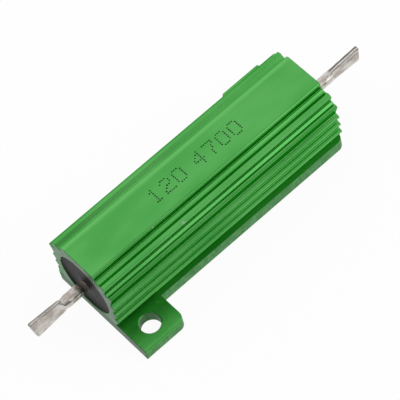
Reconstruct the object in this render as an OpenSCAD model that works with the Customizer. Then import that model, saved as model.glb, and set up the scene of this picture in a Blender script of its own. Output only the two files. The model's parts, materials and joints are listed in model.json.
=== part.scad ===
// Aluminium housed wirewound resistor.
// A resistance wire is wound on a ceramic rod between two steel end caps, each with a
// pressed terminal. The element is moulded into the bore of a finned, extruded housing
// that bolts down by two lugs, one at each end, on opposite sides.
// +X runs along the housing, +Z is up, and the origin is the centre of the mounting face.

/* [Housing] */
// Length of the extruded housing
housing_l = 50; // [40:1:62]
// Diameter of the bore that the element is moulded into
bore_d = 11.9; // [9.5:0.1:14.5]
// Metal below the bore
floor_wall = 1.45; // [1:0.05:3]
// Metal above the bore
roof_wall = 1.65; // [1.3:0.05:3]
// Thinnest metal between the bore and a side groove
side_wall = 0.95; // [0.7:0.05:2.2]
// Width of the flat top, which carries the marking
top_w = 8.3; // [6.4:0.1:10]
// Radius of the two long edges of the flat top
top_edge_r = 0.6; // [0.2:0.05:0.7]

/* [Side ribs] */
// Ribs on each side, below the two shoulder steps
rib_count = 3; // [2:1:4]
// Depth of a side groove, measured from a rib's tip
rib_depth = 0.95; // [0.6:0.05:1.05]
// Height of the lowest rib's tip above the flange
first_rib_rise = 2; // [1.3:0.1:2.2]
// Drop from the lower step's edge to the highest rib's tip
top_rib_drop = 3.05; // [2.6:0.05:3.3]
// Fall of a rib's upper face from its root out to its tip
rib_fall = 0.35; // [0.2:0.05:0.7]
// Radius of the rib tips
rib_tip_r = 0.22; // [0.1:0.02:0.3]
// Radius at the bottom of the grooves
groove_r = 0.16; // [0.1:0.02:0.3]

/* [Shoulder steps] */
// Drop from the flat top to the upper step's edge
upper_step_drop = 1.75; // [1.4:0.05:2.1]
// Drop from the flat top to the lower step's edge
lower_step_drop = 3.25; // [3.1:0.05:3.8]
// Width of the lower step
lower_step_w = 1.2; // [1.1:0.05:1.5]
// How far the lower step's edge lies inside the flange's edge
lower_step_inset = 0.1; // [0:0.05:0.4]
// How far the groove between the steps cuts in under the upper one
undercut = 0.5; // [0.3:0.05:0.6]
// Height of the upper step's rounded nose above its edge
nose_h = 0.65; // [0.3:0.05:0.8]
// Height of the fine beads along both steps
bead_h = 0.3; // [0.15:0.05:0.4]

/* [Flange and lugs] */
// Thickness of the flange and the lugs
flange_t = 2.3; // [1.8:0.1:3]
// How far the flange stands out past the rib tips
flange_proud = 0.05; // [0.05:0.05:0.5]
// Radius of the flange's two corners that have no lug
flange_corner_r = 1.5; // [0.8:0.1:2.4]
// How far the left corner without a lug is left proud by the shear
stub_reach = 0.6; // [0.1:0.05:0.8]
// Length of that proud corner along the housing
stub_l = 3; // [2:0.25:5]
// Length of a lug along the housing
lug_l = 8.75; // [7.5:0.25:12]
// How far a lug stands out past the flange
lug_reach = 6; // [5.5:0.1:8]
// Radius of a lug's inner corner
lug_corner_r = 1.4; // [0.5:0.1:2]
// Radius along the upper edge of a lug's outer side
lug_edge_r = 0.5; // [0.2:0.05:0.8]
// Diameter of a lug's mounting hole
hole_d = 3.7; // [3:0.1:4.5]
// From the housing's end to the hole's centre
hole_end_gap = 4.1; // [3.6:0.1:6]
// From the lug's outer side to the hole's centre
hole_side_gap = 3.55; // [2.8:0.05:4]
// Edge break around the hole
hole_edge = 0.15; // [0.05:0.05:0.3]

/* [Element] */
// Diameter of the ceramic rod
rod_d = 7; // [5:0.1:8.4]
// From the housing's end to an end cap's outer face
cap_inset = 6.4; // [4:0.1:8]
// Wall of an end cap, skirt and floor alike
cap_wall = 0.4; // [0.3:0.05:0.6]
// Length of an end cap over the rod
cap_skirt = 5; // [3:0.5:7]
// Diameter of the resistance wire
wire_d = 0.5; // [0.3:0.05:0.6]
// Turns of resistance wire, those that lap over the caps included
wire_turns = 20; // [10:1:24]

/* [Filling] */
// How far the filling's end lies inside the housing's end
filling_inset = 0.35; // [0.1:0.05:1]
// Clearance between pieces that touch once they are moulded in
seat_gap = 0.02; // [0.01:0.01:0.05]

/* [Terminals] */
// Diameter of the round shank
shank_d = 2; // [1.6:0.1:2.6]
// Length of the round shank outside the housing
shank_out = 4.7; // [3:0.1:8]
// Length over which the shank turns into the flat blade
neck_l = 0.8; // [0.5:0.1:1.5]
// Length of the flat blade
blade_l = 6; // [4:0.1:9]
// Width of the flat blade
blade_w = 2.5; // [2.1:0.1:3.2]
// Width of the blade at its tip
blade_tip_w = 2.9; // [2.5:0.1:3.6]
// Thickness of the flat blade
blade_t = 0.8; // [0.6:0.05:1.2]
// Radius of the blade's end corners
blade_corner_r = 0.45; // [0.2:0.05:0.8]
// Roll of the left blade about the bore's axis, from lying flat
left_roll = 65; // [0:5:180]
// Roll of the right blade about the bore's axis, from lying flat
right_roll = 85; // [0:5:180]

/* [Hidden] */

// Colours
anodised_green = [0.24, 0.60, 0.25];
compound_grey = [0.24, 0.23, 0.24];
steatite_white = [0.88, 0.86, 0.80];
wire_grey = [0.52, 0.50, 0.47];
plated_steel = [0.66, 0.66, 0.64];
tinned_grey = [0.68, 0.66, 0.62];

// Smoothness
round_fn = 96;
wire_fn = 6;
turn_steps = 14;
arc_steps = 5;
cut_over = 1;

// Housing section
bore_r = bore_d / 2;
axis_z = floor_wall + bore_r;
housing_h = floor_wall + bore_d + roof_wall;
rib_y = bore_r + side_wall + rib_depth;
groove_y = bore_r + side_wall;
flange_y = rib_y + flange_proud;
upper_step_z = housing_h - upper_step_drop;
lower_step_z = housing_h - lower_step_drop;
lower_step_y = flange_y - lower_step_inset;
upper_step_y = lower_step_y - lower_step_w;
first_rib_z = flange_t + first_rib_rise;
top_rib_z = lower_step_z - top_rib_drop;
rib_pitch = (top_rib_z - first_rib_z) / (rib_count - 1);
top_y = top_w / 2;
foot_y = flange_y - flange_corner_r;
root_y = groove_y - 0.3;
lug_y = flange_y + lug_reach;
end_x = housing_l / 2;
lug_x = end_x - lug_l;
hole_x = end_x - hole_end_gap;
hole_y = lug_y - hole_side_gap;

// Element, from the middle outwards
cap_face_x = end_x - cap_inset;
rod_x = cap_face_x - cap_wall - seat_gap;
skirt_x = cap_face_x - cap_skirt;
rod_r = rod_d / 2;
cap_in_r = rod_r + seat_gap;
cap_out_r = cap_in_r + cap_wall;
wire_r = wire_d / 2;
wire_end_x = skirt_x + (cap_skirt - wire_d) / 2;
wire_pitch = 2 * wire_end_x / wire_turns;
wire_low_r = (rod_r + wire_r + seat_gap) / cos(180 / turn_steps);
wire_high_r = (cap_out_r + wire_r + seat_gap) / cos(180 / turn_steps);
cavity_r = wire_high_r + wire_r + seat_gap;
cavity_x = cap_face_x + seat_gap;
filling_x = end_x - filling_inset;
filling_r = bore_r - seat_gap;

// Terminals, measured from the middle of the housing
shank_r = shank_d / 2;
shank_x = cap_face_x + seat_gap;
neck_x = end_x + shank_out;
blade_x = neck_x + neck_l;
tip_x = blade_x + blade_l;

// One softened corner of an outline: p is the corner, a and b are its neighbours.
function unit(v) = v / norm(v);
function turned(v, a) = [v.x * cos(a) - v.y * sin(a), v.x * sin(a) + v.y * cos(a)];
function corner(a, p, b, r) =
    let (
        u = unit(a - p),
        w = unit(b - p),
        half = acos(u * w) / 2,
        reach = min(r / tan(half), 0.45 * min(norm(a - p), norm(b - p))),
        radius = reach * tan(half),
        centre = p + unit(u + w) * radius / sin(half),
        side = sign(u.x * w.y - u.y * w.x),
        start = p + u * reach - centre,
        sweep = -side * (180 - 2 * half)
    )
    [for (i = [0 : arc_steps]) centre + turned(start, sweep * i / arc_steps)];

// An outline from rows of [across, up, corner radius]; a radius of 0 keeps the corner sharp.
function xy(row) = [row[0], row[1]];
function softened(rows) =
    let (n = len(rows))
    [
        for (i = [0 : n - 1])
            each rows[i][2] > 0
                ? corner(xy(rows[(i + n - 1) % n]), xy(rows[i]), xy(rows[(i + 1) % n]), rows[i][2])
                : [xy(rows[i])]
    ];
function mirrored(rows) = [for (i = [len(rows) - 1 : -1 : 0]) [-rows[i][0], rows[i][1], rows[i][2]]];

// Right half of the housing's section, from the foot inside the flange to the flat top.
function between(a, b, share) = a + (b - a) * share;
function side_ribs() = [
    for (i = [0 : rib_count - 1])
        let (tip_z = first_rib_z + i * rib_pitch)
        each [
            [rib_y, tip_z, rib_tip_r],
            [groove_y, tip_z + rib_fall, groove_r]
        ]
];
function lower_step() = [
    [lower_step_y, lower_step_z, rib_tip_r],
    [between(lower_step_y, upper_step_y, 0.10), lower_step_z + bead_h * 0.5, rib_tip_r / 2],
    [between(lower_step_y, upper_step_y, 0.20), lower_step_z + bead_h * 0.1, groove_r / 2],
    [between(lower_step_y, upper_step_y, 0.46), lower_step_z + bead_h * 0.7, rib_tip_r / 2],
    [between(lower_step_y, upper_step_y, 0.81), lower_step_z + bead_h * 0.3, groove_r / 2],
    [between(lower_step_y, upper_step_y, 1.15), lower_step_z + bead_h * 1.5, rib_tip_r / 2],
    [upper_step_y - undercut, lower_step_z + bead_h, groove_r / 2]
];
function upper_step() = [
    [upper_step_y, upper_step_z, rib_tip_r],
    [between(upper_step_y, top_y, 0.06), upper_step_z + nose_h * 0.7, rib_tip_r],
    [between(upper_step_y, top_y, 0.34), upper_step_z + nose_h, rib_tip_r],
    [between(upper_step_y, top_y, 0.64), upper_step_z + nose_h - bead_h * 1.5, groove_r],
    [between(upper_step_y, top_y, 0.76), upper_step_z + nose_h - bead_h * 1.5, groove_r],
    [between(upper_step_y, top_y, 0.88), upper_step_z + nose_h - bead_h * 0.4, rib_tip_r / 2],
    [top_y, upper_step_z + nose_h - bead_h * 0.9, groove_r / 2]
];
function half_section() = concat(
    [[foot_y, 0, 0], [foot_y, flange_t, 0], [root_y, flange_t, 0]],
    side_ribs(),
    lower_step(),
    upper_step(),
    [[top_y, housing_h, top_edge_r]]
);

// Seen from above: the flange with a lug at the left end's near side and at the right end's far side.
function lug_plan() = [
    [-end_x, -lug_y, 0],
    [-lug_x, -lug_y, lug_corner_r],
    [-lug_x, -flange_y, 0]
];
function half_turned(rows) = [for (row = rows) [-row[0], -row[1], row[2]]];
function plan() = concat(
    lug_plan(),
    [[end_x, -flange_y, flange_corner_r]],
    half_turned(lug_plan()),
    [
        [-end_x + stub_l + stub_reach, flange_y, 0],
        [-end_x + stub_l, flange_y + stub_reach, flange_corner_r / 2],
        [-end_x, flange_y + stub_reach, flange_corner_r / 2]
    ]
);

// Turns a section drawn across and up into a bar that runs along X.
module along_x(length) {
    rotate([90, 0, 90])
        linear_extrude(height = length, center = true)
            children();
}

module rod_along_x(radius, length) {
    rotate([0, 90, 0])
        cylinder(r = radius, h = length, $fn = round_fn);
}

module flange() {
    intersection() {
        along_x(housing_l)
            polygon(softened([
                [-lug_y, 0, 0], [lug_y, 0, 0],
                [lug_y, flange_t, lug_edge_r], [-lug_y, flange_t, lug_edge_r]
            ]));
        translate([0, 0, -cut_over])
            linear_extrude(height = flange_t + 2 * cut_over)
                polygon(softened(plan()));
    }
}

module lug_hole() {
    translate([0, 0, -cut_over])
        cylinder(d = hole_d, h = flange_t + 2 * cut_over, $fn = round_fn);
    translate([0, 0, flange_t - hole_edge])
        cylinder(d1 = hole_d, d2 = hole_d + 4 * hole_edge, h = 2 * hole_edge, $fn = round_fn);
}

module housing() {
    color(anodised_green)
        difference() {
            union() {
                along_x(housing_l)
                    polygon(softened(concat(half_section(), mirrored(half_section()))));
                flange();
            }
            translate([-end_x - cut_over, 0, axis_z])
                rod_along_x(bore_r, housing_l + 2 * cut_over);
            for (side = [-1, 1])
                translate([side * hole_x, side * hole_y, 0])
                    lug_hole();
        }
}

// A turned piece on the bore's axis: rows of [distance along X, radius] seen in half section.
module turned_on_axis(rows) {
    translate([0, 0, axis_z])
        rotate([0, 90, 0])
            rotate_extrude($fn = round_fn)
                polygon([for (row = rows) [row[1], row[0]]]);
}

// The compound fills the bore around the element and the two shanks.
module filling() {
    color(compound_grey)
        turned_on_axis([
            [-filling_x, shank_r + seat_gap], [-filling_x, filling_r],
            [filling_x, filling_r], [filling_x, shank_r + seat_gap],
            [cavity_x, shank_r + seat_gap], [cavity_x, cavity_r],
            [-cavity_x, cavity_r], [-cavity_x, shank_r + seat_gap]
        ]);
}

module ceramic_rod() {
    color(steatite_white)
        turned_on_axis([
            [-rod_x, 0], [-rod_x, rod_r], [rod_x, rod_r], [rod_x, 0]
        ]);
}

// Height of the wire's centre line above the axis: it climbs onto the caps at both ends.
function wire_path_r(x) =
    let (
        climb_end = skirt_x - wire_r - seat_gap,
        climb = 1 - (climb_end - abs(x)) / (wire_pitch / 2)
    )
    wire_low_r + (wire_high_r - wire_low_r) * min(1, max(0, climb));
function wire_ring(step) =
    let (
        x = -wire_end_x + step * wire_pitch / turn_steps,
        angle = 360 * step / turn_steps,
        path_r = wire_path_r(x)
    )
    [
        for (k = [0 : wire_fn - 1])
            let (
                a = 360 * k / wire_fn,
                r = path_r + wire_r * cos(a)
            )
            [x + wire_r * sin(a), r * cos(angle), r * sin(angle)]
    ];

module resistance_wire() {
    rings = wire_turns * turn_steps;
    points = [for (step = [0 : rings]) each wire_ring(step)];
    walls = [
        for (step = [0 : rings - 1], k = [0 : wire_fn - 1])
            let (
                a = step * wire_fn + k,
                b = step * wire_fn + (k + 1) % wire_fn
            )
            each [[a, b, b + wire_fn], [a, b + wire_fn, a + wire_fn]]
    ];
    start_face = [for (k = [wire_fn - 1 : -1 : 0]) k];
    end_face = [for (k = [0 : wire_fn - 1]) rings * wire_fn + k];
    color(wire_grey)
        translate([0, 0, axis_z])
            polyhedron(points = points, faces = concat([start_face], walls, [end_face]));
}

module end_cap(side) {
    color(plated_steel)
        turned_on_axis([
            [side * cap_face_x, 0], [side * cap_face_x, cap_out_r],
            [side * skirt_x, cap_out_r], [side * skirt_x, cap_in_r],
            [side * (cap_face_x - cap_wall), cap_in_r], [side * (cap_face_x - cap_wall), 0]
        ]);
}
module end_cap_left() { end_cap(-1); }
module end_cap_right() { end_cap(1); }

// The wire's end is pressed into a flat blade with softened corners.
module blade(roll) {
    rotate([roll, 0, 0])
        translate([0, 0, -blade_t / 2])
            linear_extrude(height = blade_t)
                polygon(softened([
                    [blade_x, -blade_w / 2, 0], [tip_x, -blade_tip_w / 2, blade_corner_r],
                    [tip_x, blade_tip_w / 2, blade_corner_r], [blade_x, blade_w / 2, 0],
                    [blade_x - neck_l / 4, blade_w / 2, 0], [blade_x - neck_l / 4, -blade_w / 2, 0]
                ]));
}
module neck(roll) {
    hull() {
        translate([neck_x - neck_l / 4, 0, 0])
            rotate([0, 90, 0])
                cylinder(r = shank_r, h = neck_l / 4, $fn = 32);
        rotate([roll, 0, 0])
            translate([blade_x - neck_l / 4, -blade_w / 2, -blade_t / 2])
                cube([neck_l / 4, blade_w, blade_t]);
    }
}
module terminal(roll) {
    color(tinned_grey)
        union() {
            translate([shank_x, 0, 0])
                rod_along_x(shank_r, neck_x - shank_x);
            neck(roll);
            blade(roll);
        }
}
module terminal_left() {
    translate([0, 0, axis_z])
        rotate([0, 0, 180])
            terminal(-left_roll);
}
module terminal_right() {
    translate([0, 0, axis_z])
        terminal(right_roll);
}

housing();
filling();
ceramic_rod();
resistance_wire();
end_cap_left();
end_cap_right();
terminal_left();
terminal_right();
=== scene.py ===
# %% [markdown]
# # An aluminium housed wirewound resistor
# A power resistor gets rid of its heat through a ribbed aluminium housing that is bolted to a
# chassis. This lesson finishes the looks of one: a green anodised extrusion, sawn across at
# both ends, a dark moulding compound in its bore, and two tinned wires pressed flat.
#
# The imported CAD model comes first. It is the fixed frame, and nothing in it is moved. Where a
# size below isn't read from it, the size has a name and a value of its own.

import json
from math import atan2, cos, pi, radians, sin

import bmesh
import bpy
from mathutils import Matrix, Quaternion, Vector, noise


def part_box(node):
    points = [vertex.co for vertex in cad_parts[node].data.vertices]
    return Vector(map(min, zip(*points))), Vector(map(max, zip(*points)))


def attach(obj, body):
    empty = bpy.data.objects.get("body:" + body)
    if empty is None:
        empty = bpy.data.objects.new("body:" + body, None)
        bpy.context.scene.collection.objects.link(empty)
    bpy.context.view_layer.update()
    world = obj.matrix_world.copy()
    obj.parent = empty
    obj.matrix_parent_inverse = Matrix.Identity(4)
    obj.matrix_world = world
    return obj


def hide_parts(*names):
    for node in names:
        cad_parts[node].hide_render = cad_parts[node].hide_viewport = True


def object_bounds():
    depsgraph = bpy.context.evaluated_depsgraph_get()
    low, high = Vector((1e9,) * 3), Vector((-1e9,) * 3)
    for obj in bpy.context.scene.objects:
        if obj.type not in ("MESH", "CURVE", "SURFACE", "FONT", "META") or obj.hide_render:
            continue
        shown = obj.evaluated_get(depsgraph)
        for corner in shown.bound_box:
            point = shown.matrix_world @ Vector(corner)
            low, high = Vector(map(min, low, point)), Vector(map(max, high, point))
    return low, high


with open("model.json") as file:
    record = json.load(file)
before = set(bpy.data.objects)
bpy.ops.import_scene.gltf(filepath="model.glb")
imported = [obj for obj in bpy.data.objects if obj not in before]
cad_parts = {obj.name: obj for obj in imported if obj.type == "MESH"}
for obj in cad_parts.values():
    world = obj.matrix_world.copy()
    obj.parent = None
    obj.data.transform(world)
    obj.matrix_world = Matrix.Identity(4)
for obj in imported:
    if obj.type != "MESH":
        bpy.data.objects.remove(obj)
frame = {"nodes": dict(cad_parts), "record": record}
cad_box = [list(corner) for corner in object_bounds()]

MM = 0.001
BODY = "root"


def low_and_high(node):
    """A CAD node's lowest and highest corners."""
    low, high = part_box(node)
    return Vector(low), Vector(high)


_, housing_high = low_and_high("housing")
filling_low, filling_high = low_and_high("filling")
right_low, right_high = low_and_high("terminal_right")
end_x = housing_high.x
top_z = housing_high.z
axis_z = (filling_low.z + filling_high.z) / 2
bore_r = (filling_high.z - filling_low.z) / 2
print("housing end", end_x / MM, "top", top_z / MM, "bore axis", axis_z / MM, "bore", bore_r / MM)

# %% [markdown]
# ## Turning a bmesh into a piece
# Each new piece is shaped in a bmesh, which is Blender's mesh in a form that its modelling
# operators can work on. When it is done it becomes an object at the origin, rides on the
# resistor's one body, stands for a CAD node and wears the finishes that it is given.
#
# Faces are shaded smooth, so that a rounded rib looks round, and two kinds of edge are marked
# sharp: those that fold more than an angle, and those where a level face meets a rounded one.
# Without the second kind, the shine of a large flat face would bend at its rim. The housing
# also gets a modifier that lets its large faces decide the shading, and not the thin strips
# along their edges.

# %% Pieces from bmeshes
SHARP_ANGLE = radians(32)
LEVEL = 0.9999


def mark_sharp_edges(shape):
    """Marks edges that fold sharply, and those where a level face meets a rounded one."""
    for edge in shape.edges:
        if len(edge.link_faces) != 2:
            continue
        levels = [abs(face.normal.z) > LEVEL for face in edge.link_faces]
        folded = edge.calc_face_angle() > SHARP_ANGLE
        edge.smooth = not folded and levels[0] == levels[1]


def make_piece(name, shape, materials, stands_for=(), flat_faces=False):
    """Turns a bmesh into a finished piece that rides on the resistor's body."""
    mesh = bpy.data.meshes.new(name)
    for face in shape.faces:
        face.smooth = True
    mark_sharp_edges(shape)
    shape.to_mesh(mesh)
    shape.free()
    for material in materials:
        mesh.materials.append(material)
    piece = bpy.data.objects.new(name, mesh)
    bpy.context.scene.collection.objects.link(piece)
    if flat_faces:
        weighted = piece.modifiers.new("flat_faces", "WEIGHTED_NORMAL")
        weighted.mode = "FACE_AREA"
        weighted.weight = 100
        weighted.keep_sharp = True
    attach(piece, BODY)
    if stands_for:
        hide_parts(*stands_for)
    triangles = sum(len(face.vertices) - 2 for face in mesh.polygons)
    print(name, "triangles", triangles)
    return piece


# %% [markdown]
# ## Writing shader maths as Python
# A material is a graph of nodes, and a long graph is hard to read as a list of links. The
# small class below wraps one socket. Adding, subtracting or multiplying two of them adds a
# Math node, so a mask can be written as a sum. Every other node comes from one method.

# %% A socket that can be added and multiplied
class Link:
    """One output socket of a material's nodes, or none at all at the start of a material."""

    def __init__(self, tree, socket=None):
        self.tree = tree
        self.socket = socket

    def node(self, kind, settings=None, inputs=None, out=0):
        """Adds a node: its settings first, then the values or links of its sockets."""
        made = self.tree.nodes.new(kind)
        for name, value in (settings or {}).items():
            if name == "stops":
                set_stops(made.color_ramp, value)
            else:
                setattr(made, name, value)
        for name, value in (inputs or {}).items():
            socket = find_socket(made.inputs, name)
            if isinstance(value, Link):
                self.tree.links.new(value.socket, socket)
            else:
                socket.default_value = value
        return Link(self.tree, find_socket(made.outputs, out) if made.outputs else None)

    def maths(self, operation, *values, clamp=False):
        settings = {"operation": operation, "use_clamp": clamp}
        return self.node("ShaderNodeMath", settings, dict(enumerate(values)))

    def __add__(self, other):
        return self.maths("ADD", self, other)

    def __sub__(self, other):
        return self.maths("SUBTRACT", self, other)

    def __mul__(self, other):
        return self.maths("MULTIPLY", self, other)

    def __rsub__(self, other):
        return self.maths("SUBTRACT", other, self)

    __radd__ = __add__
    __rmul__ = __mul__

    def __abs__(self):
        return self.maths("ABSOLUTE", self)


def find_socket(sockets, name):
    """A socket by its number, or by its name among those that are in use."""
    if isinstance(name, int):
        return sockets[name]
    return next(socket for socket in sockets if socket.enabled and socket.name == name)


def set_stops(ramp, stops):
    """Sets a colour ramp's stops from pairs of place and colour."""
    while len(ramp.elements) < len(stops):
        ramp.elements.new(0.5)
    for element, (place, colour) in zip(ramp.elements, stops):
        element.position = place
        element.color = colour


# %% [markdown]
# ## Words for finishes
# The same few steps come back in every finish: where a point is on the piece, a noise of some
# size, a soft mask, a blend of two colours, a bump. Each gets a short word here. Places are
# taken from Object coordinates, which are metres, and turned into millimetres, so that a
# noise of scale 2 has spots about half a millimetre across.

# %% Shared steps of a finish
def new_material(name):
    material = bpy.data.materials.new(name)
    material.use_nodes = True
    material.node_tree.nodes.clear()
    return material, Link(material.node_tree)


def place_in_mm(paint):
    place = paint.node("ShaderNodeTexCoord", out="Object")
    settings = {"operation": "SCALE"}
    return paint.node("ShaderNodeVectorMath", settings, {0: place, "Scale": 1 / MM})


def along_axes(place):
    return [place.node("ShaderNodeSeparateXYZ", inputs={0: place}, out=i) for i in range(3)]


def stretched(place, scale):
    """The same pattern, squeezed or drawn out along the axes."""
    return place.node("ShaderNodeMapping", inputs={"Vector": place, "Scale": scale})


def cloudy(place, scale, detail=2.0, roughness=0.5):
    inputs = {"Vector": place, "Scale": scale, "Detail": detail, "Roughness": roughness}
    return place.node("ShaderNodeTexNoise", inputs=inputs)


def between(value, low, high):
    """0 below low, 1 above high, and a soft step from one to the other."""
    inputs = {"Value": value, "From Min": low, "From Max": high}
    return value.node("ShaderNodeMapRange", {"interpolation_type": "SMOOTHSTEP"}, inputs)


def blended(share, one, other):
    """One colour where share is 0, the other where it is 1."""
    settings = {"data_type": "RGBA"}
    inputs = {"Factor": share, "A": one, "B": other}
    return share.node("ShaderNodeMix", settings, inputs, out="Result")


def bumped(height, distance, strength=1.0):
    """A bump whose height of 1 stands for a distance in millimetres."""
    inputs = {"Height": height, "Distance": distance * MM, "Strength": strength}
    return height.node("ShaderNodeBump", inputs=inputs, out="Normal")


def finish(material, paint, **inputs):
    """Adds the main shader, with its sockets named in plain lower case, and the output."""
    named = {name.replace("_", " ").title(): value for name, value in inputs.items()}
    sockets = {name.replace("Ior", "IOR"): value for name, value in named.items()}
    shader = paint.node("ShaderNodeBsdfPrincipled", inputs=sockets)
    paint.node("ShaderNodeOutputMaterial", inputs={"Surface": shader})
    print("finish", material.name, "nodes", len(material.node_tree.nodes))
    return material


# %% [markdown]
# ## The anodised skin
# Anodising grows a thin clear layer of oxide on aluminium, and the green dye sits in it, so
# the colour is that of tinted metal and not of paint: it mirrors its surroundings in green,
# and the grooves go deep green because they mirror each other. The die leaves fine lines
# along the bar. A noise that is drawn out along X gives the lines, a finer one makes the satin
# grain, and a much slower one makes the faint clouds of an uneven dye bath.
#
# Three masks tell parts of the bar apart by where they are. The ribs have a coarser grain than
# the flat top, the upper face of the lugs is scuffed and so less shiny, and a paler green is
# painted along the left edge of the top as a painted glint. Any metal turns white when it is
# seen at a glancing angle, which would make the sides of the ribs grey, so a tint keeps that
# shine green. The level faces get a second skin with a weaker tint, because from a low angle
# the strong one makes them glare.

# %% Green anodised skin
GREEN = (0.092, 0.405, 0.092, 1)
GREEN_DEEP = (0.074, 0.365, 0.074, 1)
GREEN_PALE = (0.112, 0.440, 0.108, 1)
BARE = (0.42, 0.44, 0.40, 1)
# A paler green, painted along the left edge of the flat top as a painted glint.
PAINTED_GLINT_GREEN = (0.135, 0.480, 0.127, 1)
GLANCING = (0.20, 0.62, 0.20, 1)
GLANCING_FLAT = (0.62, 0.86, 0.62, 1)
TOP_EDGE = 4.2
TOP_LEVEL = 14.4
LUG_TOP = 2.3


def make_anodised(name, glancing):
    """The skin, with its own tint for glancing angles. Heights and widths are millimetres."""
    material, paint = new_material(name)
    place = place_in_mm(paint)
    die_lines = cloudy(stretched(place, (0.02, 1, 1)), 3.0, 4)
    dye_clouds = cloudy(stretched(place, (0.4, 1, 1)), 0.16, 2)
    grain = cloudy(place, 4.5, 3, 0.6)
    colour = blended(between(dye_clouds, 0.35, 0.68), GREEN_DEEP, GREEN_PALE)
    colour = blended(between(die_lines, 0.3, 0.7) * 0.5, colour, GREEN)
    chipped = chips(place, CHIPS)
    colour = blended(chipped * 0.6, colour, BARE)
    _, across, up = along_axes(place)
    on_top = between(up, TOP_LEVEL - 0.5, TOP_LEVEL)
    # Painted glint: a paler green along the left edge of the flat top.
    painted_highlight = between(across, TOP_EDGE - 1.4, TOP_EDGE - 0.8) * on_top
    colour = blended(painted_highlight, colour, PAINTED_GLINT_GREEN)
    ribbed = between(abs(across), TOP_EDGE, TOP_EDGE + 0.8)
    scuffed = between(up, LUG_TOP - 0.09, LUG_TOP - 0.01) * between(up, LUG_TOP + 0.3, LUG_TOP)
    height = die_lines * 0.6 + grain * (0.25 + ribbed * 0.45) - chipped
    return finish(
        material, paint,
        base_color=colour,
        metallic=1.0,
        specular_tint=glancing,
        roughness=0.07 + grain * 0.08 + die_lines * 0.05 + scuffed * 0.20,
        normal=bumped(height, 0.012),
    )


# %% [markdown]
# A resistor that has lain in a box with others has a few chips on its edges, where bare metal
# shows. Each chip is a small ball in space: wherever the skin passes through it, the mask is
# 1. A little noise is added to the distance, so that a chip isn't round.

# %% Chips
CHIPS = [
    ((-12.0, -4.1, 14.6), 0.30), ((-7.6, -6.5, 13.6), 0.45), ((-15.0, -7.9, 11.4), 0.40),
    ((9.0, -7.8, 8.9), 0.25), ((-17.4, -8.3, 2.3), 0.30),
]


def chips(place, spots):
    ragged = cloudy(place, 5.0, 2)
    total = 0.0
    for centre, radius in spots:
        settings = {"operation": "DISTANCE"}
        away = place.node("ShaderNodeVectorMath", settings, {0: place, 1: centre}, out="Value")
        total = total + between(away + ragged * radius, radius * 1.3, radius * 0.9)
    return total


anodised_skin = make_anodised("anodised_skin", GLANCING)
anodised_flat = make_anodised("anodised_flat", GLANCING_FLAT)

# %% [markdown]
# ## Sheared and sawn metal
# The flange was sheared back to a narrow strip between the lugs, and the bar was sawn to
# length. Both cuts are duller and greyer than the skin. The saw leaves fine lines across the
# ends, and the shear leaves short upright ones along the flange. The drill leaves level lines
# in the holes, and the walls of the holes are painted much darker as painted shade. One
# function makes all three: what differs is the pair of colours, and the stretch and scale of
# the noise that makes the tool's lines. The sawn ends of the lugs are darker than those of the
# bar, and the last number says by how much.

# %% Bare cuts
SHEARED = (0.045, 0.215, 0.050, 1)
SHEARED_PALE = (0.105, 0.315, 0.110, 1)
SAWN = (0.070, 0.175, 0.090, 1)
SAWN_PALE = (0.185, 0.295, 0.185, 1)
# The colours of the holes' walls are painted shade, much darker than the sheared sides.
DRILLED_SHADE = (0.012, 0.075, 0.016, 1)
DRILLED_SHADE_PALE = (0.045, 0.170, 0.050, 1)
LUG_END = (0.035, 0.105, 0.045, 1)


def make_cut_metal(name, colour, pale, lines_stretch, line_scale, lug_share=0.0):
    material, paint = new_material(name)
    place = place_in_mm(paint)
    tool_lines = cloudy(stretched(place, lines_stretch), line_scale, 3)
    patches = cloudy(place, 0.8, 4, 0.6)
    shade = between(tool_lines * 0.4 + patches * 0.6, 0.38, 0.62)
    _, _, up = along_axes(place)
    on_lug = between(up, LUG_TOP + 0.3, LUG_TOP)
    return finish(
        material, paint,
        base_color=blended(on_lug * lug_share, blended(shade, colour, pale), LUG_END),
        metallic=1.0,
        roughness=0.36 + patches * 0.2,
        normal=bumped(tool_lines * 0.7 + patches * 0.3, 0.02),
    )


sheared_metal = make_cut_metal("sheared_metal", SHEARED, SHEARED_PALE, (1, 1, 0.15), 3.5)
sawn_metal = make_cut_metal("sawn_metal", SAWN, SAWN_PALE, (1, 0.12, 1), 5.0, 0.75)
# The walls of the holes are painted dark as painted shade.
drilled_shaded_metal = make_cut_metal("drilled_shaded_metal", DRILLED_SHADE, DRILLED_SHADE_PALE, (1, 1, 6), 2.0)

# %% [markdown]
# ## The housing
# The housing is one length of extruded bar. Its section could be drawn again here, but the
# CAD node already holds it, so a copy is the start: its points are merged, and the triangles
# that lie in one plane are dissolved into whole faces. Those with more than four corners are
# then cut into triangles again. What a real bar has and the copy lacks is the broken edge all
# round each sawn end. Insetting the end face and then drawing the old outline back makes that
# edge on every rib at once, with no overlap in the tight grooves.

# %% Copy the extrusion and break the edges of its ends
WELD = 0.0004 * MM
FLAT_ANGLE = radians(0.3)
END_EDGE = 0.09 * MM
NEAR = 0.01 * MM
SQUARE_ON = 0.99


def welded_copy(node):
    shape = bmesh.new()
    shape.from_mesh(frame["nodes"][node].data)
    bmesh.ops.remove_doubles(shape, verts=shape.verts, dist=WELD)
    bmesh.ops.dissolve_limit(
        shape, angle_limit=FLAT_ANGLE, verts=shape.verts, edges=shape.edges
    )
    wide = [face for face in shape.faces if len(face.verts) > 4]
    bmesh.ops.triangulate(shape, faces=wide, ngon_method="BEAUTY")
    return shape


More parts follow.
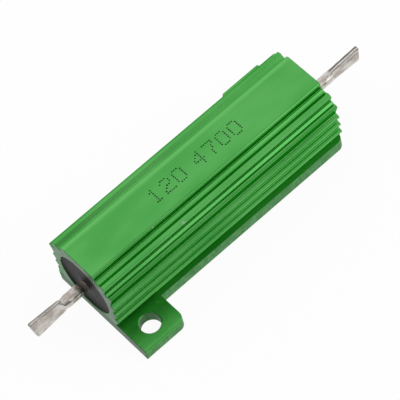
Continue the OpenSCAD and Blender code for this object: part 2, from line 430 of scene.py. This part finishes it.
def break_end_edges(shape, side, amount):
    """Chamfers the outline and the bore at one sawn end, and returns the cut faces."""
    end_faces = [
        face for face in shape.faces
        if face.normal.x * side > SQUARE_ON and face.calc_center_median().x * side > end_x - NEAR
    ]
    made = bmesh.ops.inset_region(
        shape, faces=end_faces, thickness=amount, use_boundary=True, use_even_offset=True
    )
    kept = {vert for face in end_faces for vert in face.verts}
    outline = {vert for face in made["faces"] for vert in face.verts} - kept
    bmesh.ops.translate(shape, verts=list(outline), vec=(-side * amount, 0, 0))
    print("end", side, "faces", len(end_faces), "outline points", len(outline))
    return end_faces + made["faces"]


# %% [markdown]
# The flange and the lugs are cut from the same bar, so their long edges are broken as well. A
# bevel needs the right edges: those between a level face and an upright one, at the foot. The
# record says how far apart the lug holes are and how wide, so their walls can be told from
# the sheared sides. The holes keep their edges, because the CAD shape has broken them already.

# %% Break the flange's edges and pick out its cut sides
FLANGE_EDGE = 0.12 * MM
LUG_REACH = 2.5 * MM
HOLE_END_GAP = 4.1 * MM
HOLE_MARGIN = 0.2 * MM
UPRIGHT = 0.15
FLAT_SKIN, SHEAR_CUT, SAW_CUT, DRILL_CUT = range(1, 5)


def level_with(shape, reach):
    """The height of the lugs' upper face: the highest point this near the outer sides."""
    return max(v.co.z for v in shape.verts if abs(v.co.y) > housing_high.y - reach)


def at_the_end(face):
    return abs(face.normal.x) > SQUARE_ON and abs(face.calc_center_median().x) > end_x - NEAR


def is_sheared(face, flange_top):
    """An upright side of the flange, of a lug or of a hole, but not a sawn end."""
    low = face.calc_center_median().z < flange_top
    return low and abs(face.normal.z) < UPRIGHT and not at_the_end(face)


def in_hole(face):
    """The wall of a drilled hole, or the broken edge at its rim."""
    middle = face.calc_center_median().xy
    reach = hole_r + HOLE_MARGIN
    return any((middle - Vector(centre)).length < reach for centre in hole_centres)


def flange_edges(shape, flange_top):
    picked = []
    for edge in shape.edges:
        if len(edge.link_faces) != 2 or edge.verts[0].co.z > flange_top + NEAR:
            continue
        one, other = sorted(edge.link_faces, key=lambda face: abs(face.normal.z))
        cut = is_sheared(one, flange_top) and not in_hole(one)
        if cut and abs(other.normal.z) > SQUARE_ON:
            picked.append(edge)
    return picked


mount = next(m for m in frame["record"]["mounts"] if m["name"] == "lug_holes")
hole_r = mount["dims"]["hole_r_mm"] * MM
housing_shape = welded_copy("housing")
flange_top = level_with(housing_shape, LUG_REACH)
half_pitch = mount["dims"]["pcd_mm"] * MM / 2
hole_x = end_x - HOLE_END_GAP
hole_y = (half_pitch * half_pitch - hole_x * hole_x) ** 0.5
hole_centres = [(-hole_x, -hole_y), (hole_x, hole_y)]
print("flange top", flange_top / MM, "hole", hole_x / MM, hole_y / MM)

edges = flange_edges(housing_shape, flange_top)
bmesh.ops.bevel(
    housing_shape, geom=edges, offset=FLANGE_EDGE, offset_type="OFFSET", segments=1,
    affect="EDGES", profile=0.5, material=-1, clamp_overlap=True,
)
print("flange edges broken", len(edges))

# %% [markdown]
# Each face now gets its finish by where it is and which way it looks: the walls of the holes,
# their rims, the sheared sides, the level faces, and last the sawn ends. What is left over is
# the skin of the ribs and shoulders, which is the first finish in the list.

# %% Give each face its finish, and break the edges of the sawn ends
for face in housing_shape.faces:
    if is_sheared(face, flange_top):
        face.material_index = DRILL_CUT if in_hole(face) else SHEAR_CUT
    elif in_hole(face) and abs(face.normal.z) < SQUARE_ON:
        face.material_index = SHEAR_CUT
    elif abs(face.normal.z) > SQUARE_ON:
        face.material_index = FLAT_SKIN
for side in (-1, 1):
    for face in break_end_edges(housing_shape, side, END_EDGE):
        face.material_index = SAW_CUT
make_piece(
    "housing_skin", housing_shape,
    [anodised_skin, anodised_flat, sheared_metal, sawn_metal, drilled_shaded_metal],
    ["housing"], flat_faces=True,
)

# %% [markdown]
# ## The moulding compound
# The element is cast into the bore with a dark compound. It shrinks a little as it cures, so
# its face is dished, and it creeps up the metal that it wets: the bore's wall outside and the
# terminal inside. Half of its section is drawn as a loop of edges and spun about the bore's
# axis. The loop also runs round the space that the ceramic rod and its winding take up.

# %% Spin the compound
SPIN_STEPS = 96
SEAT_GAP = 0.02 * MM
SHANK_R = 1.0 * MM
SHANK_HOLE = SHANK_R + SEAT_GAP
MENISCUS = 0.2 * MM
DISH = [(0.20, 0.13), (0.50, 0.04), (1.1, -0.05), (2.4, -0.10), (3.6, -0.08), (4.4, -0.03)]
_, cap_high = low_and_high("end_cap_right")
wire_low, wire_high = low_and_high("resistance_wire")
filling_end = filling_high.x
cavity_x = cap_high.x + SEAT_GAP
cavity_r = (wire_high.z - wire_low.z) / 2 + SEAT_GAP


def spun_about_bore(loop):
    """Spins a closed loop of points, each along X and out from the bore's axis."""
    shape = bmesh.new()
    verts = [shape.verts.new((x, 0, axis_z + r)) for x, r in loop]
    for one, other in zip(verts, verts[1:] + verts[:1]):
        shape.edges.new((one, other))
    bmesh.ops.spin(
        shape, geom=shape.verts[:] + shape.edges[:], cent=(0, 0, axis_z), axis=(1, 0, 0),
        angle=2 * pi, steps=SPIN_STEPS, use_merge=True,
    )
    bmesh.ops.remove_doubles(shape, verts=shape.verts, dist=WELD)
    bmesh.ops.recalc_face_normals(shape, faces=shape.faces)
    return shape


def dished_face():
    """The face of the compound, from the terminal out to the bore."""
    points = [(filling_end + MENISCUS, SHANK_HOLE)]
    points += [(filling_end + up * MM, SHANK_HOLE + out * MM) for out, up in DISH]
    points += [(filling_end + MENISCUS * 0.2, bore_r - 0.2 * MM)]
    points += [(filling_end + MENISCUS * 0.7, bore_r)]
    return points


face_line = dished_face()
outside = [(-x, r) for x, r in face_line] + [(x, r) for x, r in reversed(face_line)]
hollow = [
    (cavity_x, SHANK_HOLE), (cavity_x, cavity_r), (-cavity_x, cavity_r), (-cavity_x, SHANK_HOLE)
]
print("compound ends at", filling_end / MM, "hollow", cavity_x / MM, "by", cavity_r / MM)

# %% [markdown]
# The compound is a filled resin, dark and hardly shiny. Slow swirls come from how it was
# poured, a fine noise is its grain, and a few pale specks are grains of the filler.

# %% Dark compound
COMPOUND = (0.014, 0.011, 0.013, 1)
COMPOUND_PALE = (0.034, 0.027, 0.032, 1)
COMPOUND_SPECK = (0.10, 0.09, 0.09, 1)


def make_compound():
    material, paint = new_material("moulding_compound")
    place = place_in_mm(paint)
    swirls = cloudy(place, 0.5, 3, 0.55)
    fine = cloudy(place, 6.0, 3, 0.6)
    specks = between(cloudy(place, 9.0, 1), 0.66, 0.72)
    dark = blended(between(swirls, 0.35, 0.7), COMPOUND, COMPOUND_PALE)
    return finish(
        material, paint,
        base_color=blended(specks * 0.5, dark, COMPOUND_SPECK),
        roughness=0.42 + fine * 0.2,
        specular_ior_level=0.10,
        normal=bumped(swirls * 0.8 + fine * 0.2, 0.10),
    )


make_piece(
    "compound_fill", spun_about_bore(outside + hollow), [make_compound()],
    ["filling"],
)

# %% [markdown]
# ## The terminals
# Each terminal is a round tinned wire whose end is pressed into a flat blade. A cylinder is
# cut across into many rings, and every point is then moved by one rule: round along the
# shank, within a short neck turning wide and flat with rounded edges, and wider still towards
# the tip. Only over the last third of a millimetre does it narrow, for the blade's corners.
# Tinning leaves the metal a little lumpy, so a noise moves each point by a few hundredths of a
# millimetre.
#
# The two ends differ: each is rolled to its own angle and cut at its own slant, and the left
# one is bent aside a little, with a shank that swells before the neck.

# %% The section of a terminal along its length
RING = 40
CUTS = 110
BLADE_W = 2.4 * MM
TIP_W = 3.0 * MM
BLADE_T = 0.8 * MM
NECK = 0.8 * MM
BLADE = 6.0 * MM
CORNER = 0.35 * MM
TIP_EDGE = 0.12 * MM
LUMPS = 0.030 * MM
SQUARED = 0.24


def eased(share):
    share = min(1.0, max(0.0, share))
    return share * share * (3 - 2 * share)


def pull(value, power):
    """Raises the size to a power and keeps the sign: under 1 it squares a circle off."""
    return abs(value) ** power * (1 if value >= 0 else -1)


def corner_loss(to_tip, radius):
    """How much narrower a rounded corner is at a distance from the tip."""
    short = radius - min(radius, max(0.0, to_tip))
    return radius - (radius * radius - short * short) ** 0.5


def section_at(x, tip, swell):
    """Half width, half thickness, and how far the wire is pressed flat at x."""
    flat = eased((x - (tip - BLADE - NECK)) / NECK)
    fat = swell * eased((x - end_x) / SHANK_R) * eased((tip - BLADE - NECK - x) / SHANK_R)
    flare = (TIP_W - BLADE_W) / 2 * max(0.0, 1 - (tip - x) / BLADE)
    half_w = SHANK_R + (BLADE_W / 2 + flare - SHANK_R) * flat - corner_loss(tip - x, CORNER)
    half_t = SHANK_R + (BLADE_T / 2 - SHANK_R) * flat - corner_loss(tip - x, TIP_EDGE)
    return half_w + fat, half_t + fat, flat


# %% [markdown]
# The edges of the blade get painted reflections. A number is stored at each point of the mesh,
# and the finish reads it later: above 0 the edge gets a painted dark reflection, below 0 a
# painted highlight. The right terminal gets strong bands: a painted dark line along one corner
# and a painted highlight beside it. On the left one only the back of the edge is painted dark.

# %% Painted reflections along the blade's edges
PAINTED_BANDS_LAYER = "pressed_edge"
EDGE_FROM, EDGE_SOFT = 0.88, 0.08
DARK_FADE = 2.5
BAND_FADE = 3.5


def painted_band_at(wide, thick, painted_band_strength):
    """The painted reflection band at a point of the section, given as shares of its half width
    and thickness.
    """
    on_edge = eased((abs(wide) - EDGE_FROM) / EDGE_SOFT)
    dark = on_edge * eased(0.6 + 0.6 * painted_band_strength - DARK_FADE * thick)
    on_corner = max(0.0, 1 - BAND_FADE * abs(wide - thick)) if wide > 0.7 else 0.0
    painted_highlight = painted_band_strength if wide > 0.9 and 0.5 < thick < 0.7 else 0.0
    return max(dark, painted_band_strength * on_corner) - painted_highlight


# %% [markdown]
# Now the cylinder becomes a wire. Its rings are set closer together towards the tip, where the
# shape changes most. Each point is first put on the straight wire's section, then made lumpy,
# then cut back for the slanted tip, and only after that rolled, bent and lifted to the axis.

# %% Shape a terminal
def long_cylinder():
    """A cylinder along Z, one unit long, cut across into many rings."""
    shape = bmesh.new()
    bmesh.ops.create_cone(
        shape, cap_ends=True, segments=RING, radius1=1.0, radius2=1.0, depth=1.0
    )
    lengthwise = [e for e in shape.edges if abs(e.verts[0].co.z - e.verts[1].co.z) > 0.5]
    bmesh.ops.subdivide_edges(shape, edges=lengthwise, cuts=CUTS, use_grid_fill=True)
    return shape


def lumpy(point):
    """The point, moved a little in or out from the wire's axis."""
    lump = noise.noise(point / MM * 1.1) + 0.5 * noise.noise(point / MM * 3.1)
    outwards = Vector((0, point.y, point.z)).normalized()
    return outwards * lump * LUMPS * eased((point.x - end_x) / (2 * SHANK_R))


def shape_terminal(inner, tip, side, roll, bend, swell, slant, painted_band_strength):
    """A wire from inner out to tip along X: rolled, bent sideways, and cut at a slant."""
    shape = long_cylinder()
    # This layer holds the painted reflection bands of the blade's edges, one number at each
    # point.
    pressed = shape.verts.layers.float.new(PAINTED_BANDS_LAYER)
    turn = Matrix.Rotation(roll, 3, "X")
    if side < 0:
        turn = Matrix.Rotation(pi, 3, "Z") @ turn
    for vert in shape.verts:
        share = 0.5 + vert.co.z
        x = inner + (tip - inner) * (1 - (1 - share) ** 1.5)
        angle = atan2(vert.co.x, vert.co.y)
        half_w, half_t, flat = section_at(x, tip, swell)
        square = 1 - (1 - SQUARED) * flat
        point = Vector((x, half_w * pull(cos(angle), square), half_t * pull(sin(angle), square)))
        vert[pressed] = flat * painted_band_at(point.y / half_w, point.z / half_t, painted_band_strength)
        point += lumpy(point)
        cut_back = abs(slant) / 2 + slant * point.y / TIP_W
        point.x -= cut_back * eased((x - (tip - BLADE)) / BLADE)
        point = turn @ point
        point.y += bend * max(0.0, (x - end_x) / (tip - end_x))
        vert.co = point + Vector((0, 0, axis_z))
    bmesh.ops.recalc_face_normals(shape, faces=shape.faces)
    return shape


# %% [markdown]
# The tin is bright where it was wiped and dull where it froze unevenly, with brown smudges of
# flux and old finger marks, more of them close to the housing. Three noises of different
# sizes share that work. Where the wire leaves the compound it wears a skin of flux. That is
# no metal, so the mask that paints it also makes the surface less metallic there.

# %% Tinned wire
TIN = (0.64, 0.61, 0.57, 1)
TIN_DULL = (0.42, 0.38, 0.34, 1)
TIN_BROWN = (0.20, 0.14, 0.11, 1)
# The next two colours are painted reflections on the blade's edges: a dark one and a highlight.
TIN_PAINTED_DARK = (0.13, 0.12, 0.11, 1)
TIN_PAINTED_HIGHLIGHT = (0.95, 0.93, 0.89, 1)
FLUX = (0.34, 0.28, 0.24, 1)


def make_tin():
    material, paint = new_material("tinned_wire")
    place = place_in_mm(paint)
    mottle = cloudy(stretched(place, (0.5, 1, 1)), 0.9, 4, 0.6)
    wiped = cloudy(stretched(place, (0.15, 1, 1)), 2.4, 3, 0.6)
    smudges = cloudy(stretched(place, (0.4, 1, 1)), 0.7, 3, 0.6)
    along, _, _ = along_axes(place)
    end = end_x / MM
    near_end = between(abs(along) + mottle * 2.0, end + 4.6, end + 1.2)
    browned = between(smudges + near_end * 0.18, 0.60, 0.76)
    fluxed = between(abs(along) + mottle * 0.8, end + 1.4, end + 0.4)
    # The painted dark reflections and painted highlights along the blade's edges, stored at each
    # point.
    mark = paint.node("ShaderNodeAttribute", {"attribute_name": PAINTED_BANDS_LAYER}, out="Fac")
    colour = blended(between(mottle, 0.38, 0.62), TIN_DULL, TIN)
    colour = blended(browned * 0.55, colour, TIN_BROWN)
    colour = blended(fluxed, colour, FLUX)
    colour = blended(mark * -0.9, colour, TIN_PAINTED_HIGHLIGHT)
    colour = blended(mark * 0.85, colour, TIN_PAINTED_DARK)
    return finish(
        material, paint,
        base_color=colour,
        metallic=1.0 - fluxed * 0.6,
        roughness=0.10 + wiped * 0.22 + fluxed * 0.2,
        normal=bumped(mottle * 0.6 + wiped * 0.4, 0.05),
    )


# The last entry of each says how strong the painted reflections along the blade's edges are.
LEFT = {
    "side": -1, "roll": radians(-65), "bend": -0.20 * MM, "swell": 0.16 * MM,
    "slant": 0.35 * MM, "painted_band_strength": 0.0,
}
RIGHT = {
    "side": 1, "roll": radians(85), "bend": 0.0, "swell": 0.0,
    "slant": -0.45 * MM, "painted_band_strength": 1.0,
}
tinned_wire = make_tin()
for name, node, shaping in (
    ("pressed_wire_left", "terminal_left", LEFT),
    ("pressed_wire_right", "terminal_right", RIGHT),
):
    wire = shape_terminal(right_low.x, right_high.x, **shaping)
    make_piece(name, wire, [tinned_wire], [node])

# %% [markdown]
# ## Numbers on the flat top
# Such housings carry a rating in dots of dark ink, sprayed on as they pass under a nozzle.
# Here they are plain numbers. Each digit is a small grid of dots, five across and seven up,
# and each dot is a very low closed disc of eight sides that stands on the flat top.

# %% Dots of ink
DOT = 0.155 * MM
DOT_PITCH = 0.43 * MM
INK = 0.006 * MM
LINE_START = -8.8 * MM
LINE_LOW = -1.3 * MM
DIGIT_STEP = 2.65 * MM
WORD_GAP = 1.6 * MM
WOBBLE = 0.05 * MM
NUMBERS = ("120", "4700")
DIGITS = {
    "0": (".###.", "#...#", "#...#", "#...#", "#...#", "#...#", ".###."),
    "1": ("..#..", ".##..", "..#..", "..#..", "..#..", "..#..", ".###."),
    "2": (".###.", "#...#", "....#", "..##.", ".#...", "#....", "#####"),
    "4": ("...#.", "..##.", ".#.#.", "#..#.", "#####", "...#.", "...#."),
    "7": ("#####", "....#", "...#.", "...#.", "..#..", "..#..", "..#.."),
}


def dot_places():
    """Where the dots are, line by line from the top of each digit."""
    places = []
    start = LINE_START
    for number in NUMBERS:
        for digit in number:
            for row, dots in enumerate(DIGITS[digit]):
                for column, dot in enumerate(dots):
                    if dot == "#":
                        off = WOBBLE * noise.noise((start / MM, row, column))
                        places.append((
                            start + column * DOT_PITCH + off,
                            LINE_LOW + (6 - row) * DOT_PITCH + off,
                        ))
            start += DIGIT_STEP
        start += WORD_GAP
    return places


def make_dots():
    shape = bmesh.new()
    for count, (x, y) in enumerate(dot_places()):
        size = DOT * (1 + 0.25 * noise.noise((count * 0.7, 0.3, 0.1)))
        bmesh.ops.create_cone(
            shape, cap_ends=True, segments=8, radius1=size, radius2=size * 0.8, depth=INK,
            matrix=Matrix.Translation((x, y, top_z + INK * 0.5)),
        )
    return shape


INK_THICK = (0.002, 0.014, 0.003, 1)
INK_THIN = (0.006, 0.045, 0.008, 1)


def make_ink():
    material, paint = new_material("dark_ink")
    place = place_in_mm(paint)
    thin = cloudy(place, 7.0, 2)
    return finish(
        material, paint,
        base_color=blended(between(thin, 0.35, 0.7), INK_THICK, INK_THIN),
        roughness=0.55 + thin * 0.2,
        specular_ior_level=0.15,
        normal=bumped(thin, 0.004),
    )


make_piece("printed_dots", make_dots(), [make_ink()])

# %% [markdown]
# ## The element inside
# The rod, the winding and the end caps are hidden, but they are part of the model, so each
# keeps its CAD shape and gets a finish of its own.

# %% Finishes inside
def make_ceramic():
    material, paint = new_material("steatite")
    place = place_in_mm(paint)
    grain = cloudy(place, 3.0, 4, 0.6)
    colour = blended(between(grain, 0.4, 0.6), (0.78, 0.75, 0.67, 1), (0.66, 0.62, 0.54, 1))
    return finish(
        material, paint, base_color=colour, roughness=0.45 + grain * 0.2,
        normal=bumped(grain, 0.02),
    )


def make_inner_metal(name, bright, dull, roughness, stretch):
    material, paint = new_material(name)
    place = place_in_mm(paint)
    lines = cloudy(stretched(place, stretch), 4.0, 3, 0.6)
    colour = blended(between(lines, 0.35, 0.65), bright, dull)
    return finish(
        material, paint, base_color=colour, metallic=1.0, roughness=roughness + lines * 0.2,
        normal=bumped(lines, 0.01),
    )


plated_steel = make_inner_metal(
    "plated_steel", (0.55, 0.54, 0.52, 1), (0.42, 0.41, 0.39, 1), 0.22, (1, 0.3, 0.3)
)
winding_alloy = make_inner_metal(
    "winding_alloy", (0.36, 0.33, 0.29, 1), (0.26, 0.23, 0.20, 1), 0.30, (1, 1, 1)
)
for node, material in (
    ("ceramic_rod", make_ceramic()), ("resistance_wire", winding_alloy),
    ("end_cap_left", plated_steel), ("end_cap_right", plated_steel),
):
    mesh = frame["nodes"][node].data
    mesh.materials.clear()
    mesh.materials.append(material)
    print(node, "wears", material.name)

# %% [markdown]
# ## The stage
# The floor is a plain white sheet. Seen by the camera, or mirrored in metal, most of its
# colour is its own, so it stays white, and the rest is lit, so it keeps a soft shadow. It lies
# a hair below the resistor's foot, because two faces in one plane would flicker.

# %% Floor
OWN_SHARE = 0.94
FLOOR_HALF = 2.0
FLOOR_DROP = 0.02 * MM
floor_material, paint = new_material("white_floor")
ray = paint.node("ShaderNodeLightPath", out="Is Camera Ray")
glossy = paint.node("ShaderNodeLightPath", out="Is Glossy Ray")
through = paint.node("ShaderNodeLightPath", out="Is Transmission Ray")
seen = paint.maths("MULTIPLY", ray + glossy + through, OWN_SHARE, clamp=True)
lit = paint.node("ShaderNodeBsdfDiffuse", inputs={"Color": (0.9, 0.9, 0.9, 1)})
own = paint.node("ShaderNodeEmission", inputs={"Color": (1, 1, 1, 1), "Strength": 1.0})
both = paint.node("ShaderNodeMixShader", inputs={0: seen, 1: lit, 2: own})
paint.node("ShaderNodeOutputMaterial", inputs={"Surface": both})

floor_shape = bmesh.new()
bmesh.ops.create_grid(floor_shape, x_segments=1, y_segments=1, size=FLOOR_HALF)
floor_mesh = bpy.data.meshes.new("floor")
floor_shape.to_mesh(floor_mesh)
floor_shape.free()
floor_mesh.materials.append(floor_material)
floor = bpy.data.objects.new("floor", floor_mesh)
floor.location.z = -FLOOR_DROP
bpy.context.scene.collection.objects.link(floor)

# %% [markdown]
# ## The light
# A light tent gives soft light from above and from behind. On the near side it fades towards
# the horizon, where the room is darker. Metal mirrors all of it, so its shape shows as
# bands: the pale tent, the dark room, and the white floor. A soft window stands low on the
# near side, towards the far end, and draws a fine bright line along every rib.

# %% World
SKY_STOPS = [
    (0.0, (0.10, 0.10, 0.10, 1)), (0.22, (0.16, 0.16, 0.16, 1)),
    (0.52, (0.80, 0.80, 0.80, 1)), (1.0, (1.0, 1.0, 1.0, 1)),
]
NEAR_SIDE_SHARE = 0.55
WINDOW = Vector((0.75, -0.55, 0.35)).normalized()
WINDOW_BRIGHT = 1.6

world = bpy.data.worlds.new("studio")
bpy.context.scene.world = world
world.use_nodes = True
world.node_tree.nodes.clear()
sky = Link(world.node_tree)
direction = sky.node("ShaderNodeTexCoord", out="Generated")
_, back, up = along_axes(direction)
overhead = sky.node("ShaderNodeValToRGB", {"stops": SKY_STOPS}, {0: up})
side_share = NEAR_SIDE_SHARE + between(back, -0.55, 0.05) * (1 - NEAR_SIDE_SHARE)
tent = between(back, 0.1, 0.75)
behind = overhead * side_share * (1 - tent) + tent
towards = {0: direction, 1: WINDOW}
facing = sky.node("ShaderNodeVectorMath", {"operation": "DOT_PRODUCT"}, towards, out="Value")
window = between(facing, 0.72, 0.92) * WINDOW_BRIGHT
light = sky.node("ShaderNodeBackground", inputs={"Color": behind + window})
sky.node("ShaderNodeOutputWorld", inputs={"Surface": light})

# %% [markdown]
# ## The camera
# The resistor is seen from above and from its left end, with a long lens from close to half
# a metre away, and the camera is rolled so that the bar runs up to the right.

# %% Camera
AZIMUTH = radians(-28.05)
ELEVATION = radians(58.12)
ROLL = radians(-16.19)
DISTANCE = 0.4607
SENSOR_WIDTH = 36.0
FOCAL_LENGTH = 252.2
AIM_OFFSET = Vector((-0.87, -1.16, -1.39)) * MM


def add_camera():
    lens = bpy.data.cameras.new("camera")
    lens.sensor_width = SENSOR_WIDTH
    lens.lens = FOCAL_LENGTH
    lens.clip_start = 0.01
    camera = bpy.data.objects.new("camera", lens)
    away = Vector((
        sin(AZIMUTH) * cos(ELEVATION), -cos(AZIMUTH) * cos(ELEVATION), sin(ELEVATION)
    ))
    middle = (Vector(cad_box[0]) + Vector(cad_box[1])) / 2
    camera.location = middle + AIM_OFFSET + away * DISTANCE
    camera.rotation_mode = "QUATERNION"
    camera.rotation_quaternion = away.to_track_quat("Z", "Y") @ Quaternion((0, 0, 1), ROLL)
    bpy.context.scene.collection.objects.link(camera)
    bpy.context.scene.camera = camera


add_camera()
bpy.context.scene.view_settings.view_transform = "Standard"
